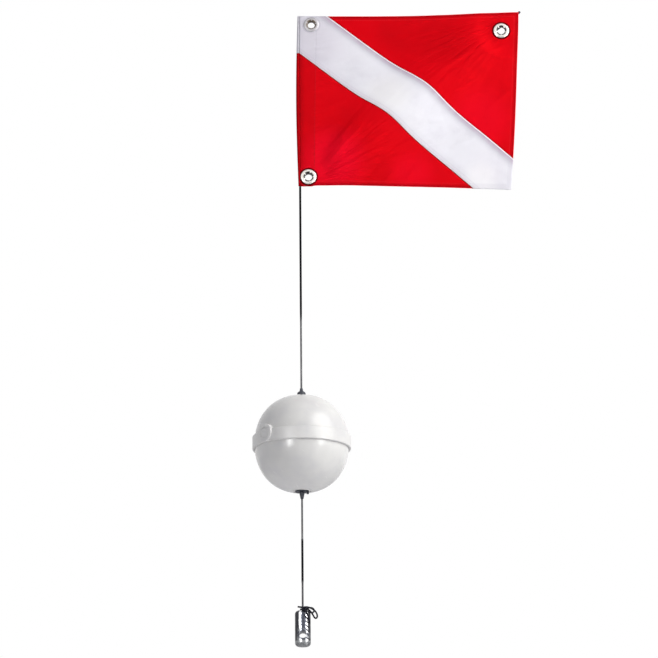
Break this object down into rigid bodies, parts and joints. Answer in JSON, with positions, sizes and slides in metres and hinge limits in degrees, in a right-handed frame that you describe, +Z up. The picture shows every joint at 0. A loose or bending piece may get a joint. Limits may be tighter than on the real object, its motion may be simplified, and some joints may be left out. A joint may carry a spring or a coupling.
{
  "type": "dive flag float",
  "caption": "Dive flag float: a white ball float on a weighted wire mast with a swivelling red and white flag.",
  "frame": {"origin": "middle of the ball float on the mast's axis", "axes": "+Z up the mast towards the flag, +X the way the flag flies at rest, -Y towards the viewer of the picture"},
  "size_m": [0.4692, 0.1654, 1.1177],
  "materials": {
    "shell": "satin moulded polyethylene",
    "tube": "plain extruded tube",
    "rubber": "dull black rubber",
    "wire": "drawn spring wire",
    "weight": "bright cast zinc with dull patches",
    "cord": "black braided cord",
    "red_cloth": "red woven nylon",
    "white_cloth": "white woven nylon",
    "eyelet": "nickel plated brass",
    "rod": "dark fibreglass rod"
  },
  "bodies": {
    "float": {"float_upper_shell": "shell", "float_lower_shell": "shell", "float_center_tube": "tube", "float_fill_plug": "shell"},
    "float_stops": {"upper_stopper": "rubber", "lower_washer": "rubber", "lower_stopper": "rubber"},
    "mast": {"mast_wire": "wire", "weight_body": "weight", "tie_cord": "cord"},
    "flag": {"flag_upper_panel": "red_cloth", "flag_stripe_panel": "white_cloth", "flag_lower_panel": "red_cloth", "sleeve_white": "white_cloth", "sleeve_red": "red_cloth", "head_eyelet": "eyelet", "heel_eyelet": "eyelet", "peak_eyelet": "eyelet", "head_washer": "eyelet", "heel_washer": "eyelet", "peak_washer": "eyelet", "stiffener_rod": "rod", "heel_rod_cap": "rubber", "peak_rod_cap": "rubber", "heel_pocket": "red_cloth", "peak_pocket": "red_cloth"}
  },
  "joints": [
    {"name": "mast_spin", "type": "hinge", "parent": "float", "child": "float_stops", "pos_m": [0, 0, 0], "axis": [0, 0, 1], "continuous": true},
    {"name": "mast_slide", "type": "slide", "parent": "float_stops", "child": "mast", "axis": [0, 0, 1], "range_m": [-0.35, 0.175]},
    {"name": "flag_swivel", "type": "hinge", "parent": "mast", "child": "flag", "pos_m": [0, 0, 0.6], "axis": [0, 0, 1], "continuous": true}
  ]
}
